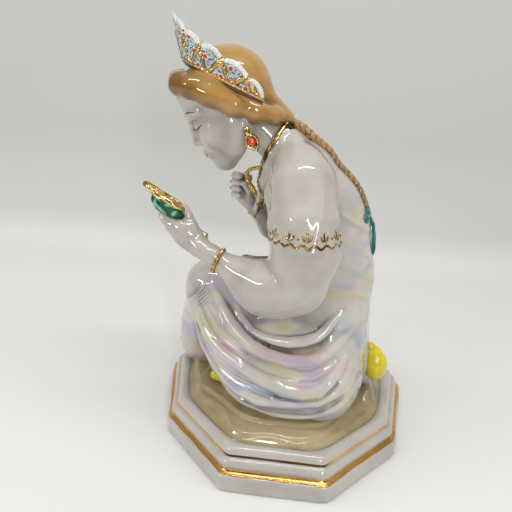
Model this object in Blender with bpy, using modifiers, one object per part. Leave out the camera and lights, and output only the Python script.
"""A glazed porcelain figurine: a kneeling young woman in a crown-like headdress who looks into a
hand mirror and lifts her beads, on an eight-sided plinth.

The pieces are the ones a figurine workshop casts and presses apart and then sticks up with slip:
plinth, ground, skirt, bodice, head, hair, headdress, sleeves, hands and the small applied details.

Units are millimetres in this file and are turned into metres on the way in. The figure faces -Y,
her left is +X and +Z is up. The origin is the middle of the plinth's underside.
"""

import math

import bmesh
import bpy
from mathutils import Matrix, Vector

MM = 0.001
GAP = 0.32  # clear space that is left between two neighbouring pieces

# ---- driving dimensions ---------------------------------------------------------------------
PLINTH_FLATS = 110.0  # across the flats of the octagon
PLINTH_HEIGHT = 19.0
HEADDRESS_DEPTH = 36.0  # from the parting back to behind the ears
SLAB_THICKNESS = 3.0
BASE_SPLAY = 0.145  # how much wider the base is under her folded leg than in front of her
SPLAY_START = 22.8  # the x where the base begins to widen, and the run it widens over
SPLAY_RUN = 42.0
GROUND_TOP = 23.0  # the level that the skirt and the shoes stand on
HEM = 22.5

KNEE = Vector((-2.0, -37.5, 70.0))  # the raised right knee
HIP = Vector((0.0, 20.0, 52.0))
WAIST = Vector((0.0, 19.0, 84.0))
NECK = Vector((0.0, -9.0, 138.0))
HEAD = Vector((0.0, -30.0, 154.0))
HEAD_BOW = math.radians(30.0)  # how far the head is bent forward
SHOULDER_L = Vector((21.0, 3.0, 127.0))
SHOULDER_R = Vector((-21.0, 4.0, 126.0))
ELBOW_L = Vector((31.0, 4.0, 93.0))
ELBOW_R = Vector((-29.0, -2.0, 88.0))
WRIST_L = Vector((27.5, -27.0, 95.0))
WRIST_R = Vector((-15.5, -17.0, 104.0))
MIRROR = Vector((19.0, -51.0, 116.6))

COLOURS = {
    "white_glaze": ((0.86, 0.85, 0.83), 0.12, 0.0),
    "pearl_lustre": ((0.80, 0.78, 0.80), 0.10, 0.15),
    "olive_glaze": ((0.42, 0.36, 0.22), 0.15, 0.0),
    "hair_glaze": ((0.60, 0.38, 0.17), 0.15, 0.0),
    "gold": ((0.83, 0.58, 0.20), 0.22, 1.0),
    "green_enamel": ((0.02, 0.35, 0.16), 0.12, 0.0),
    "teal_enamel": ((0.02, 0.38, 0.36), 0.12, 0.0),
    "red_enamel": ((0.75, 0.12, 0.04), 0.12, 0.0),
    "yellow_glaze": ((0.85, 0.75, 0.03), 0.12, 0.0),
}


NODES = {}  # the finished pieces by name
WHOLE = {}  # the skin of each modelled piece before anything was cut from it


# ---- scene and material helpers ---------------------------------------------------------------
def clear_scene():
    for obj in list(bpy.data.objects):
        bpy.data.objects.remove(obj, do_unlink=True)


def collection(name):
    made = bpy.data.collections.new(name)
    bpy.context.scene.collection.children.link(made)
    return made


def material(slot):
    if slot in bpy.data.materials:
        return bpy.data.materials[slot]
    colour, roughness, metallic = COLOURS[slot]
    made = bpy.data.materials.new(slot)
    made.use_nodes = True
    shader = made.node_tree.nodes["Principled BSDF"]
    shader.inputs["Base Color"].default_value = (*colour, 1.0)
    shader.inputs["Roughness"].default_value = roughness
    shader.inputs["Metallic"].default_value = metallic
    return made


def link(obj, group, slot=None):
    for old in list(obj.users_collection):
        old.objects.unlink(obj)
    group.objects.link(obj)
    if slot:
        obj.data.materials.clear()
        obj.data.materials.append(material(slot))
    return obj


def evaluated_mesh(obj):
    bpy.context.view_layer.update()
    graph = bpy.context.evaluated_depsgraph_get()
    return bpy.data.meshes.new_from_object(obj.evaluated_get(graph))


def settle(obj):
    """Applies the modifiers, and makes a curve into a mesh with its caps welded on."""
    mesh = evaluated_mesh(obj)
    name, world, groups = obj.name, obj.matrix_world.copy(), list(obj.users_collection)
    bpy.data.objects.remove(obj, do_unlink=True)
    bm = bmesh.new()
    bm.from_mesh(mesh)
    bmesh.ops.remove_doubles(bm, verts=bm.verts, dist=0.00001)
    bmesh.ops.recalc_face_normals(bm, faces=bm.faces)
    bm.to_mesh(mesh)
    bm.free()
    made = bpy.data.objects.new(name, mesh)
    made.name = name
    made.matrix_world = world
    for group in groups:
        group.objects.link(made)
    return made


def smooth_shaded(obj, angle=40.0):
    obj.data.shade_smooth()
    obj.data.set_sharp_from_angle(angle=math.radians(angle))
    return obj


# ---- shapes -----------------------------------------------------------------------------------
def ball(bm, centre, radii, tilt=None, segments=24, rings=14):
    """An ellipsoid. tilt is a rotation matrix about its centre."""
    turn = (tilt or Matrix.Identity(3)).to_4x4()
    size = Matrix.Diagonal((*[r * MM for r in radii], 1.0))
    place = Matrix.Translation(Vector(centre) * MM)
    bmesh.ops.create_uvsphere(
        bm, u_segments=segments, v_segments=rings, radius=1.0, matrix=place @ turn @ size
    )


def limb(bm, stations, spacing=1.6):
    """A round limb: balls close together along a chain of (point, radius) stations."""
    for (start, r0), (end, r1) in zip(stations, stations[1:]):
        start, end = Vector(start), Vector(end)
        count = max(2, math.ceil((end - start).length / spacing))
        for i in range(count + 1):
            share = i / count
            radius = r0 + (r1 - r0) * share
            ball(bm, start.lerp(end, share), (radius,) * 3, segments=16, rings=10)


def modelled(name, slot, group, build, voxel=1.2, rounds=6, triangles=1200):
    """One soft-edged piece: overlapping primitives made one skin, smoothed and thinned out."""
    mesh = bpy.data.meshes.new(name)
    bm = bmesh.new()
    build(bm)
    bm.to_mesh(mesh)
    bm.free()
    obj = bpy.data.objects.new(name, mesh)
    group.objects.link(obj)
    skin = obj.modifiers.new("skin", "REMESH")
    skin.mode = "VOXEL"
    skin.voxel_size = voxel * MM
    soft = obj.modifiers.new("soft", "SMOOTH")
    soft.factor = 0.5
    soft.iterations = rounds
    obj = settle(obj)
    obj.data.calc_loop_triangles()
    thin = obj.modifiers.new("thin", "DECIMATE")
    thin.ratio = min(1.0, triangles / len(obj.data.loop_triangles))
    obj = settle(obj)
    obj.data.materials.append(material(slot))
    WHOLE[name] = obj.data.copy()
    return smooth_shaded(obj)


def turned(name, slot, group, profile, steps=32, phase=0.0):
    """A profile of (radius, height) points turned about Z. The profile is a closed loop."""
    mesh = bpy.data.meshes.new(name)
    points = [(r * math.cos(phase) * MM, r * math.sin(phase) * MM, z * MM) for r, z in profile]
    edges = [(i, (i + 1) % len(points)) for i in range(len(points))]
    mesh.from_pydata(points, edges, [])
    obj = bpy.data.objects.new(name, mesh)
    group.objects.link(obj)
    screw = obj.modifiers.new("turn", "SCREW")
    screw.steps = screw.render_steps = steps
    screw.use_merge_vertices = True
    screw.merge_threshold = 0.00001
    obj = settle(obj)
    obj.data.materials.append(material(slot))
    return obj


def tube(name, slot, group, points, radius, sides=2, closed=False, radii=None):
    """A round bar along points, as a poly curve with a bevel."""
    curve = bpy.data.curves.new(name, "CURVE")
    curve.dimensions = "3D"
    curve.bevel_depth = radius * MM
    curve.bevel_resolution = sides
    curve.use_fill_caps = not closed
    spline = curve.splines.new("POLY")
    spline.points.add(len(points) - 1)
    for i, point in enumerate(points):
        spline.points[i].co = (*(Vector(point) * MM), 1.0)
        spline.points[i].radius = radii[i] if radii else 1.0
    spline.use_cyclic_u = closed
    obj = bpy.data.objects.new(name, curve)
    group.objects.link(obj)
    obj = settle(obj)
    obj.data.materials.clear()
    obj.data.materials.append(material(slot))
    return smooth_shaded(obj)


def smooth_path(knots, count):
    """Points along a Catmull-Rom curve through the knots."""
    knots = [Vector(k) for k in knots]
    knots = [knots[0] * 2 - knots[1], *knots, knots[-1] * 2 - knots[-2]]
    spans = len(knots) - 3
    path = []
    for i in range(count + 1):
        place = i / count * spans
        k = min(int(place), spans - 1)
        t = place - k
        a, b, c, d = knots[k : k + 4]
        path.append(
            0.5 * (2 * b + (c - a) * t + (2 * a - 5 * b + 4 * c - d) * t**2
                   + (3 * b - a - 3 * c + d) * t**3)
        )
    return path


# ---- fitting pieces together ------------------------------------------------------------------
def keep_clear(obj, *others, gap=GAP):
    """Cuts obj back so that each of the others fits beside it with the gap between them.

    The cutter is the other piece as it was before it was cut itself, so its skin is sound.
    """
    for other in others:
        shape = WHOLE.get(other.name, other.data).copy()
        cutter = bpy.data.objects.new("cutter_" + other.name, shape)
        link(cutter, CUTTERS)
        cutter.hide_render = True
        cutter.display_type = "WIRE"
        swell = cutter.modifiers.new("swell", "DISPLACE")
        swell.mid_level = 0.0
        swell.strength = gap * MM
        cut = obj.modifiers.new("cut", "BOOLEAN")
        cut.operation = "DIFFERENCE"
        cut.solver = "EXACT"
        cut.object = cutter
        name = obj.name
        obj = settle(obj)
        obj.name = name
        bpy.data.objects.remove(cutter, do_unlink=True)
    return largest_body(obj)


def largest_body(obj):
    """Removes the crumbs that a cut leaves beside the main body."""
    bm = bmesh.new()
    bm.from_mesh(obj.data)
    islands, left = [], set(bm.faces)
    while left:
        seed = left.pop()
        island, stack = {seed}, [seed]
        while stack:
            for edge in stack.pop().edges:
                for face in edge.link_faces:
                    if face in left:
                        left.discard(face)
                        island.add(face)
                        stack.append(face)
        islands.append(island)
    islands.sort(key=lambda faces: sum(f.calc_area() for f in faces))
    crumbs = [face for island in islands[:-1] for face in island]
    bmesh.ops.delete(bm, geom=crumbs, context="FACES")
    bm.to_mesh(obj.data)
    bm.free()
    return smooth_shaded(obj)


# ---- the base -----------------------------------------------------------------------------------
def octagon_radius(inset):
    return (PLINTH_FLATS / 2 - inset) / math.cos(math.pi / 8)


def splayed(obj):
    """Widens a base piece towards her right, as the base's plan does."""
    for vert in obj.data.vertices:
        share = min(max((SPLAY_START - vert.co.x / MM) / SPLAY_RUN, 0.0), 1.0)
        vert.co.y *= 1.0 + BASE_SPLAY * share
    if obj.name in WHOLE:
        WHOLE[obj.name] = obj.data.copy()
    return obj


def plinth(group):
    """The moulded octagonal plinth, a cast shell that is open below and above."""
    outer = [
        (9.2, PLINTH_HEIGHT), (7.2, 18.8), (5.9, 17.6), (5.4, 16.0), (4.9, 15.4), (4.9, 14.9),
        (3.2, 14.2), (2.5, 12.6), (2.6, 10.6), (2.4, 9.7), (0.8, 8.9), (0.2, 8.0), (0.0, 1.0),
        (0.6, 0.0),
    ]
    inner = [
        (5.0, 0.0), (5.0, SLAB_THICKNESS + GAP + 0.6), (6.5, 8.0), (9.5, 13.0), (12.5, 15.0),
        (12.5, PLINTH_HEIGHT),
    ]
    profile = [(octagon_radius(inset), z) for inset, z in outer + inner]
    return splayed(turned("plinth", "white_glaze", group, profile, steps=8, phase=math.pi / 8))


def underside_slab(group):
    """The flat floor that closes the plinth below, with the firing vent through it."""
    vent_radius, vent_place = 2.5, (0.0, 22.0)
    bpy.ops.mesh.primitive_cylinder_add(
        vertices=8,
        radius=octagon_radius(5.0 + GAP) * MM,
        depth=SLAB_THICKNESS * MM,
        location=(0, 0, SLAB_THICKNESS / 2 * MM),
        rotation=(0, 0, math.pi / 8),
    )
    slab = link(bpy.context.object, group, "white_glaze")
    slab.name = "underside_slab"
    slab.data.transform(slab.matrix_basis)
    slab.matrix_basis = Matrix.Identity(4)
    splayed(slab)
    bpy.ops.mesh.primitive_cylinder_add(
        vertices=24,
        radius=vent_radius * MM,
        depth=3 * SLAB_THICKNESS * MM,
        location=(vent_place[0] * MM, vent_place[1] * MM, SLAB_THICKNESS / 2 * MM),
    )
    drill = link(bpy.context.object, CUTTERS)
    drill.name = "cutter_vent"
    drill.hide_render = True
    drill.display_type = "WIRE"
    cut = slab.modifiers.new("vent", "BOOLEAN")
    cut.operation = "DIFFERENCE"
    cut.solver = "EXACT"
    cut.object = drill
    slab = settle(slab)
    slab.name = "underside_slab"
    return slab


def ground(group):
    """The modelled earth that she kneels on: a low mound with worn ledges on a deep core."""

    def build(bm):
        core = SLAB_THICKNESS + 1.5
        ledges = ((13.5, core, 14.0), (11.0, 17.4, 4.0), (17.0, 18.5, 4.2), (26.0, 19.5, 4.4))
        for inset, bottom, height in ledges:
            bmesh.ops.create_cone(
                bm,
                cap_ends=True,
                segments=8,
                radius1=octagon_radius(inset) * MM,
                radius2=octagon_radius(inset + (0.0 if bottom == core else 2.5)) * MM,
                depth=height * MM,
                matrix=Matrix.Translation((0, 0, (bottom + height / 2) * MM))
                @ Matrix.Rotation(math.pi / 8, 4, "Z"),
            )
        for x, y, z, size in (
            (28, -20, 19.5, 9), (36, 10, 19.0, 9), (20, 36, 19.5, 10), (-30, 24, 19.5, 11),
            (-34, -14, 19.0, 10), (10, -36, 19.0, 9), (-14, -34, 19.5, 9), (6, 38, 20.5, 9),
        ):
            ball(bm, (x, y, z), (size, size, 3.2))

    obj = modelled("ground", "olive_glaze", group, build, voxel=1.1, rounds=8, triangles=700)
    return keep_clear(splayed(obj), NODES["plinth"])


# ---- the figure ---------------------------------------------------------------------------------
def skirt(group):
    """The pearl skirt over one raised knee and one leg folded on the ground."""

    def build(bm):
        ball(bm, (0, 19, 44), (30, 21, 26))
        ball(bm, (0, 20, 64), (23, 19, 26))
        limb(bm, [((-8, 8, 56), 17), (KNEE, 12)])
        limb(bm, [(KNEE, 11.5), ((-6, -42, 48), 11.5), ((-10, -44, 34), 11.5), ((-15, -44, 22), 11.5)])
        limb(bm, [((10, 12, 46), 21), ((14, -18, 44), 15), ((3, -36, 62), 12)])
        limb(bm, [((19, 16, 36), 20), ((20, -8, 36), 16), ((6, -32, 44), 12)])
        limb(bm, [((22, 20, 29), 16), ((24, 0, 28), 14), ((12, -22, 31), 10)])
        limb(bm, [((2, 30, 40), 11), ((-4, 36, 30), 9)])
        ball(bm, (-12, 4, 36), (19, 34, 15))

    obj = modelled("skirt", "pearl_lustre", group, build, voxel=1.4, rounds=8, triangles=1500)
    return keep_clear(flat_below(obj, HEM), NODES["ground"])


def flat_below(obj, height):
    """Cuts everything under the height off."""
    bm = bmesh.new()
    bm.from_mesh(obj.data)
    cut = bmesh.ops.bisect_plane(
        bm,
        geom=[*bm.verts, *bm.edges, *bm.faces],
        plane_co=(0, 0, height * MM),
        plane_no=(0, 0, -1),
        clear_outer=True,
    )
    rim = [e for e in cut["geom_cut"] if isinstance(e, bmesh.types.BMEdge)]
    bmesh.ops.holes_fill(bm, edges=rim, sides=0)
    bmesh.ops.recalc_face_normals(bm, faces=bm.faces)
    bm.to_mesh(obj.data)
    bm.free()
    return obj


def front_shoe(group):
    def build(bm):
        ball(bm, (5, -33, 26), (4.2, 6.0, 3.8))

    obj = modelled("front_shoe", "yellow_glaze", group, build, voxel=0.7, rounds=2, triangles=160)
    return keep_clear(obj, NODES["skirt"], NODES["ground"])


def rear_shoe(group):
    """The foot she kneels on: toes down, heel up, sole facing back."""

    def build(bm):
        limb(bm, [((4, 40, 45), 3.2), ((5, 42.5, 38), 5.2), ((6, 41.5, 31), 5.6)])

    obj = modelled("rear_shoe", "yellow_glaze", group, build, voxel=0.8, rounds=3, triangles=220)
    return keep_clear(obj, NODES["skirt"], NODES["ground"])


def bodice(group):
    """The white blouse from the waist to the base of the neck."""

    def build(bm):
        ball(bm, (0, 15, 98), (21, 18.5, 26))
        ball(bm, (0, 6.5, 116), (22, 16.5, 18))
        limb(bm, [((0, 19, 84), 18.5), ((0, 11, 112), 16)])
        limb(bm, [(SHOULDER_L, 9), ((0, 2.5, 130), 10.5), (SHOULDER_R, 9)])
        limb(bm, [((0, 1, 128), 12), ((0, -5.5, 137), 8.4)])

    obj = modelled("bodice", "white_glaze", group, build, voxel=1.3, rounds=9, triangles=800)
    return keep_clear(obj, NODES["skirt"])


def left_sleeve(group):
    """The near sleeve: puffed to the embroidered band, then a full bag to the wrist."""

    def build(bm):
        limb(bm, [(SHOULDER_L, 10.5), ((27, 4, 114), 13.5), ((30.5, 5.5, 104), 13.5)])
        limb(bm, [((30.5, 5.5, 104), 13.5), (ELBOW_L, 13.0), ((31, -8, 90), 11.5)])
        limb(bm, [((31, -8, 90), 11.5), (WRIST_L, 6.5)])

    obj = modelled("left_sleeve", "white_glaze", group, build, voxel=1.2, rounds=6, triangles=700)
    return keep_clear(obj, NODES["bodice"], NODES["skirt"])


def right_sleeve(group):
    """The far sleeve, its elbow tucked against her side and its wrist raised."""

    def build(bm):
        limb(bm, [(SHOULDER_R, 10.0), ((-28, 4, 106), 12.5), (ELBOW_R, 11.5)])
        limb(bm, [(ELBOW_R, 11.5), ((-21, -13, 95), 8.5), (WRIST_R, 5.5)])

    obj = modelled("right_sleeve", "white_glaze", group, build, voxel=1.2, rounds=6, triangles=560)
    return keep_clear(obj, NODES["bodice"], NODES["skirt"])


def head_axes():
    """Rotation of the bowed head: its own -Y is the way she faces, its own +Z runs to the crown."""
    return Matrix.Rotation(HEAD_BOW, 3, "X")


def on_head(x, y, z):
    """A point given in the head's own axes, from the middle of the head."""
    return HEAD + head_axes() @ Vector((x, y, z))


def head(group):
    """Face, ears and neck."""

    def build(bm):
        tilt = head_axes()
        ball(bm, on_head(0, -1.0, 3.0), (14.0, 18.0, 16.5), tilt)
        ball(bm, on_head(0, -6.0, -7), (12.0, 12.5, 14.0), tilt)
        ball(bm, on_head(0, -12.0, -17.5), (5.2, 4.6, 4.2), tilt)
        ball(bm, on_head(0, -19.0, -6.5), (2.2, 3.4, 4.0), tilt)
        for side in (-1, 1):
            ball(bm, on_head(side * 13.8, 4.0, -6), (1.8, 3.0, 4.6), tilt)
        limb(bm, [(on_head(0, 5, -8), 8.8), (NECK + Vector((0, 1.5, -2)), 7.6)])

    obj = modelled("head", "white_glaze", group, build, voxel=1.0, rounds=4, triangles=800)
    return keep_clear(obj, NODES["bodice"])


def hair(group):
    """The smooth hair, parted in front, swept over the ears to the nape."""

    def build(bm):
        tilt = head_axes()
        ball(bm, on_head(0, 1.0, 5.0), (16.4, 18.0, 16.8), tilt)
        for side in (-1, 1):
            limb(bm, [
                (on_head(side * 3.0, -14.0, 16.5), 4.6),
                (on_head(side * 10.5, -10.0, 10.5), 5.0),
                (on_head(side * 13.2, -2.0, 3.5), 4.6),
                (on_head(side * 12.6, 7.0, -3.5), 4.8),
                (on_head(side * 3.5, 14.5, -10.0), 4.2),
            ])
        limb(bm, [(on_head(0, 10, -1), 9), (on_head(0, 15.0, -14.0), 5.0)])

    obj = modelled("hair", "hair_glaze", group, build, voxel=1.1, rounds=5, triangles=900)
    return keep_clear(obj, NODES["head"], NODES["bodice"])


def headdress(group):
    """A low crown of painted scallops from ear to ear, highest over the parting."""
    half = 18  # columns on each side of the middle
    thickness = 1.7
    outer, inner = [], []
    for i in range(-half, half + 1):
        share = i / half
        foot, rim = headdress_column(share)
        outer.append((foot, rim))
    bm = bmesh.new()
    columns = []
    for i, (foot, rim) in enumerate(outer):
        before, after = outer[max(i - 1, 0)], outer[min(i + 1, 2 * half)]
        along = after[0] - before[0]
        out = along.cross(rim - foot).normalized() * (thickness / 2)
        corners = [foot - out, rim - out * 0.7, rim + out * 0.7, foot + out]
        columns.append([bm.verts.new(p * MM) for p in corners])
    for a, b in zip(columns, columns[1:]):
        for k in range(4):
            bm.faces.new((a[k], a[(k + 1) % 4], b[(k + 1) % 4], b[k]))
    bm.faces.new(columns[0])
    bm.faces.new(columns[-1][::-1])
    bmesh.ops.recalc_face_normals(bm, faces=bm.faces)
    mesh = bpy.data.meshes.new("headdress")
    bm.to_mesh(mesh)
    bm.free()
    obj = bpy.data.objects.new("headdress", mesh)
    link(obj, group, "white_glaze")
    return keep_clear(obj, NODES["hair"], NODES["head"])


def headdress_column(share):
    """(foot, rim) of the headdress at share, from -1 at her right ear to 1 at her left."""
    side = abs(share)
    sweep = math.radians(90.0) * share
    back = HEADDRESS_DEPTH * (1.0 - math.cos(sweep))
    foot = Vector((16.6 * math.sin(sweep), -8.6 + 0.626 * back, 22.0 - 0.78 * back))
    scallops = abs(math.cos(math.pi * (side * 4.5)))
    tall = 17.5 - 8.0 * min(side * 3.2, 1.0) + 1.8 * scallops * min(side * 6.0, 1.0)
    tall *= (1.0 - side**5) ** 0.5
    lean = Vector((0.22 * math.sin(sweep), 0.285 + 0.75 * side, 0.958 - 0.35 * side)).normalized()
    return on_head(*foot), on_head(*(foot + lean * max(tall, 1.2)))


def braid(group):
    """One plait from the nape down the middle of the back: strands that cross left and right."""

    def build(bm):
        crossings = 22
        path = smooth_path(BRAID_ROUTE, crossings)
        for i, point in enumerate(path):
            share = i / crossings
            width = 2.7 - 1.1 * share
            side = 0.36 * width * (-1) ** i
            ball(bm, point + Vector((side, 0, 0)), (width,) * 3, segments=16, rings=10)

    obj = modelled("braid", "hair_glaze", group, build, voxel=0.6, rounds=2, triangles=460)
    return keep_clear(obj, NODES["bodice"], NODES["hair"], NODES["head"])


BRAID_ROUTE = [(0, -7.0, 148.0), (0, -0.6, 145.8), (0, 8.2, 139.6), (0, 15.8, 131.5),
               (0, 22.8, 121.0), (0, 27.6, 111.0)]


def ribbon(group):
    """The bow that ties the braid: a knot, two loops and two tails."""

    def build(bm):
        ball(bm, (0, 30.4, 109.0), (2.4, 2.4, 2.6))
        for side in (-1, 1):
            loop = Matrix.Rotation(side * math.radians(24), 3, "Y")
            ball(bm, (side * 5.0, 30.4, 109.6), (5.0, 2.0, 3.0), loop)
            limb(bm, [
                ((side * 1.5, 31.0, 107), 1.6), ((side * 3.2, 34.0, 99), 1.9),
                ((side * 4.6, 35.8, 91), 1.6),
            ])

    obj = modelled("ribbon", "teal_enamel", group, build, voxel=0.7, rounds=3, triangles=380)
    return keep_clear(obj, NODES["bodice"], NODES["braid"], NODES["skirt"])


# ---- hands and what they hold -----------------------------------------------------------------
def mirror_axes():
    """Columns: across the mirror, along it towards the crest, and out of its glass."""
    along = Vector((-0.11, -0.86, 0.50)).normalized()
    glass = Vector((-0.23, 0.50, 0.81))
    glass = (glass - along * glass.dot(along)).normalized()
    across = along.cross(glass)
    return Matrix((across, along, glass)).transposed()


def on_mirror(a, b, c):
    return MIRROR + mirror_axes() @ Vector((a, b, c))


def mirror_frame(group):
    """The gilt hand mirror: an oval rim and back plate, a looped crest and a handle."""

    def build(bm):
        ball(bm, MIRROR, (4.2, 5.6, 1.2), mirror_axes())
        rim = [on_mirror(4.2 * math.cos(a), 5.6 * math.sin(a), 0.4)
               for a in [i * math.tau / 24 for i in range(25)]]
        limb(bm, [(p, 1.0) for p in rim], spacing=0.9)
        crest = [on_mirror(2.4 * math.cos(a), 8.8 + 3.0 * math.sin(a), 0.4)
                 for a in [i * math.tau / 16 for i in range(17)]]
        limb(bm, [(p, 0.9) for p in crest], spacing=0.8)
        limb(bm, [(on_mirror(0, -5, 0), 1.2), (on_mirror(2.5, -11, -2.5), 1.1)], spacing=0.8)
        limb(bm, [(on_mirror(2.5, -11, -2.5), 1.1), ((14.5, -38.6, 103.4), 1.0),
                  ((14.2, -37.4, 100.6), 1.9), ((14.2, -36.8, 98.8), 1.0)], spacing=0.8)

    return modelled("mirror_frame", "gold", group, build, voxel=0.45, rounds=2, triangles=620)


def mirror_plate(name, slot, group, face):
    """A shallow oval plate on the glass side (face 1) or the back (face -1) of the frame."""

    def build(bm):
        middle = on_mirror(0, 2.5 if face < 0 else 0, 0.2 + face * (1.9 if face < 0 else 1.1))
        radii = (4.2, 7.4, 2.2) if face < 0 else (3.1, 4.5, 0.9)
        ball(bm, middle, radii, mirror_axes(), segments=32, rings=18)

    obj = modelled(name, slot, group, build, voxel=0.35, rounds=2, triangles=300)
    return keep_clear(obj, NODES["mirror_frame"])


def left_hand(group):
    """Fingers laid together under the mirror's back, the thumb along its edge."""

    def build(bm):
        limb(bm, [(WRIST_L + Vector((0, 2, 0)), 5.2), ((26.5, -32, 98), 4.6)])
        for finger in range(4):
            low = Vector((1.1, 0.15, -0.8)) * (2.0 * finger)
            root = Vector((21.5, -39.0, 105.5)) + low
            middle = Vector((22.0, -46.5, 110.5)) + low
            tip = Vector((21.5, -53.0 + 0.8 * abs(finger - 1.5), 113.6)) + low
            limb(bm, [((25.8, -31.5, 98.5), 4.4), (root, 2.5), (middle, 2.1), (tip, 1.5)])
        limb(bm, [((22.0, -33, 101), 3.0), ((19.0, -40, 109), 2.0), ((17.8, -44.6, 113.4), 1.6)])

    obj = modelled("left_hand", "white_glaze", group, build, voxel=0.7, rounds=3, triangles=620)
    return keep_clear(
        obj, NODES["left_sleeve"], NODES["skirt"], NODES["mirror_frame"], NODES["mirror_back"],
        NODES["mirror_glass"],
    )


def right_hand(group):
    """The raised hand, its fingertips together on the beads."""

    def build(bm):
        limb(bm, [(WRIST_R + Vector((0, 1.5, -2)), 4.2), ((-14.5, -22, 109), 4.6)])
        ball(bm, (-14.5, -24.5, 112.5), (4.0, 4.4, 5.0))
        for row in range(4):
            rise = 3.0 * row
            limb(bm, [
                ((-15.5, -23.0, 111 + 0.5 * rise), 2.3), ((-14.5, -29.3, 111.5 + rise), 1.9),
                ((-9.6, -27.2, 113.0 + rise), 1.5),
            ])
        limb(bm, [((-13, -20, 110), 2.4), ((-9.5, -21.0, 115), 1.8), ((-8.6, -23.8, 118.0), 1.5)])

    obj = modelled("right_hand", "white_glaze", group, build, voxel=0.7, rounds=3, triangles=560)
    return keep_clear(obj, NODES["right_sleeve"], NODES["bodice"], NODES["head"])


def ring_around(name, group, centre, axis, radius, thickness, beads, *near):
    """A small beaded band about an axis, cut back to what it lies on."""
    axis = Vector(axis).normalized()
    side = axis.orthogonal().normalized()
    up = axis.cross(side)
    count = beads * 3
    path, sizes = [], []
    for i in range(count):
        angle = i / count * math.tau
        path.append(Vector(centre) + (side * math.cos(angle) + up * math.sin(angle)) * radius)
        sizes.append(1.0 + 0.22 * math.cos(angle * beads))
    obj = tube(name, "gold", group, path, thickness, sides=1, closed=True, radii=sizes)
    return keep_clear(obj, *near)


# ---- applied details --------------------------------------------------------------------------
def collar(group):
    """The gilt neckband: high at the nape, down along both edges of the open neckline."""
    near_side = [(0.0, 1.0, 147.6), (6.5, -3.5, 146.5), (9.6, -9.0, 140.5), (8.4, -12.6, 133.5),
                 (5.2, -14.8, 126.5), (2.2, -15.8, 120.5), (0.0, -16.0, 117.5)]
    far_side = [(-x, y, z) for x, y, z in near_side[-2:0:-1]]
    path = smooth_path([*near_side, *far_side, near_side[0]], 44)[:-1]
    obj = tube("collar", "gold", group, path, 1.1, sides=1, closed=True)
    return keep_clear(obj, NODES["bodice"], NODES["head"], NODES["hair"], NODES["braid"])


def bead_strand(group):
    """The beads she lifts: out from the neckband to her fingertips and back to the breast."""
    knots = [(1.5, -16.6, 128.6), (-4.0, -21.0, 126.4), (-7.4, -26.0, 123.6), (-7.2, -26.8, 119.6),
             (-4.0, -22.0, 117.0), (0.2, -17.4, 115.0), (0.8, -16.9, 110.0), (0.2, -17.2, 105.0)]
    path = smooth_path(knots, 40)
    sizes = [1.0 + 0.25 * math.cos(i * math.pi) for i in range(len(path))]
    obj = tube("bead_strand", "gold", group, path, 1.0, sides=1, radii=sizes)
    return keep_clear(
        obj, NODES["head"], NODES["bodice"], NODES["right_hand"], NODES["collar"]
    )


def earring(side, group):
    """A gilt hoop on the lobe and the drop that hangs from it."""
    name = "left" if side > 0 else "right"

    def build(bm):
        ball(bm, (side * 16.6, -20.3, 146.2), (1.5, 1.6, 1.6))
        ball(bm, (side * 17.0, -18.6, 140.6), (1.5, 3.0, 4.0))

    obj = modelled(f"{name}_earring", "gold", group, build, voxel=0.4, rounds=2, triangles=260)
    return keep_clear(obj, NODES["head"], NODES["hair"])


def earring_stone(side, group):
    name = "left" if side > 0 else "right"

    def build(bm):
        ball(bm, (side * 18.5, -18.7, 140.4), (0.9, 1.7, 2.3))

    obj = modelled(f"{name}_earring_stone", "red_enamel", group, build, 0.3, 2, 140)
    return keep_clear(obj, NODES[f"{name}_earring"])


def box(bm, centre, size, turn=0.0):
    matrix = (
        Matrix.Translation(Vector(centre) * MM)
        @ Matrix.Rotation(turn, 4, "Z")
        @ Matrix.Diagonal((*[s * MM for s in size], 1.0))
    )
    bmesh.ops.create_cube(bm, size=1.0, matrix=matrix)


CASKET = Vector((-4.0, -17.5, 81.0))
CASKET_SIZE = Vector((24.0, 15.0, 9.0))


def casket(group):
    """The open jewel casket on her lap."""
    wall = 1.6
    bpy.ops.mesh.primitive_cube_add(size=1.0, location=CASKET * MM)
    shell = link(bpy.context.object, group, "white_glaze")
    shell.name = "casket"
    shell.scale = CASKET_SIZE * MM
    bpy.ops.object.transform_apply(location=False, rotation=False, scale=True)
    inside = CASKET_SIZE - Vector((2 * wall, 2 * wall, 0))
    bpy.ops.mesh.primitive_cube_add(size=1.0, location=(CASKET + Vector((0, 0, wall))) * MM)
    cavity = link(bpy.context.object, CUTTERS)
    cavity.name = "cutter_casket"
    cavity.scale = inside * MM
    bpy.ops.object.transform_apply(location=False, rotation=False, scale=True)
    cavity.hide_render = True
    cavity.display_type = "WIRE"
    cut = shell.modifiers.new("cavity", "BOOLEAN")
    cut.operation = "DIFFERENCE"
    cut.solver = "EXACT"
    cut.object = cavity
    shell = settle(shell)
    shell.name = "casket"
    return keep_clear(shell, NODES["skirt"], NODES["bodice"], NODES["right_sleeve"])


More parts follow.
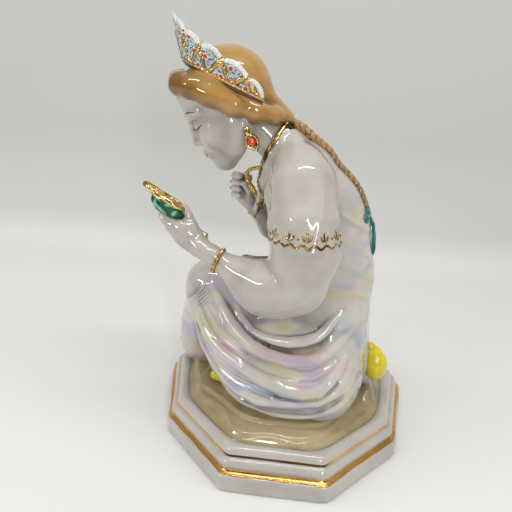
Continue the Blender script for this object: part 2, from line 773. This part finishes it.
def casket_jewels(group):
    """The heap of gilt trinkets that fills the casket."""

    def build(bm):
        ball(bm, CASKET + Vector((0, 0, 1.0)), (9.6, 5.4, 3.0))
        for i in range(9):
            angle = i * 2.4
            reach = 1.5 + 0.7 * i
            ball(
                bm,
                CASKET + Vector((reach * math.cos(angle), 0.6 * reach * math.sin(angle), 2.8)),
                (1.9, 1.9, 1.7),
            )

    obj = modelled("casket_jewels", "gold", group, build, voxel=0.6, rounds=2, triangles=300)
    return keep_clear(obj, NODES["casket"], NODES["skirt"], NODES["bodice"])


# ---- assembly ---------------------------------------------------------------------------------
def add(obj):
    NODES[obj.name] = obj


clear_scene()
FIGURINE = collection("figurine")
CUTTERS = collection("cutters")


def main():
    add(plinth(FIGURINE))
    add(underside_slab(FIGURINE))
    add(ground(FIGURINE))
    add(skirt(FIGURINE))
    add(front_shoe(FIGURINE))
    add(rear_shoe(FIGURINE))
    add(bodice(FIGURINE))
    add(left_sleeve(FIGURINE))
    add(right_sleeve(FIGURINE))
    add(head(FIGURINE))
    add(hair(FIGURINE))
    add(headdress(FIGURINE))
    add(braid(FIGURINE))
    add(ribbon(FIGURINE))
    add(mirror_frame(FIGURINE))
    add(mirror_plate("mirror_glass", "gold", FIGURINE, 1))
    add(mirror_plate("mirror_back", "green_enamel", FIGURINE, -1))
    add(left_hand(FIGURINE))
    add(right_hand(FIGURINE))
    add(collar(FIGURINE))
    add(bead_strand(FIGURINE))
    forearm_l, forearm_r = (-0.1, -0.92, 0.38), (0.25, -0.35, 0.9)
    add(ring_around("left_bracelet", FIGURINE, (28.6, -29.4, 96.2), forearm_l, 5.2, 0.9, 9,
                    NODES["left_sleeve"], NODES["left_hand"], NODES["skirt"]))
    add(ring_around("right_bracelet", FIGURINE, (-14.9, -18.8, 105.6), forearm_r, 5.0, 0.8, 9,
                    NODES["right_sleeve"], NODES["right_hand"], NODES["bodice"]))
    for side in (-1, 1):
        add(earring(side, FIGURINE))
        add(earring_stone(side, FIGURINE))
    add(casket(FIGURINE))
    add(casket_jewels(FIGURINE))


main()
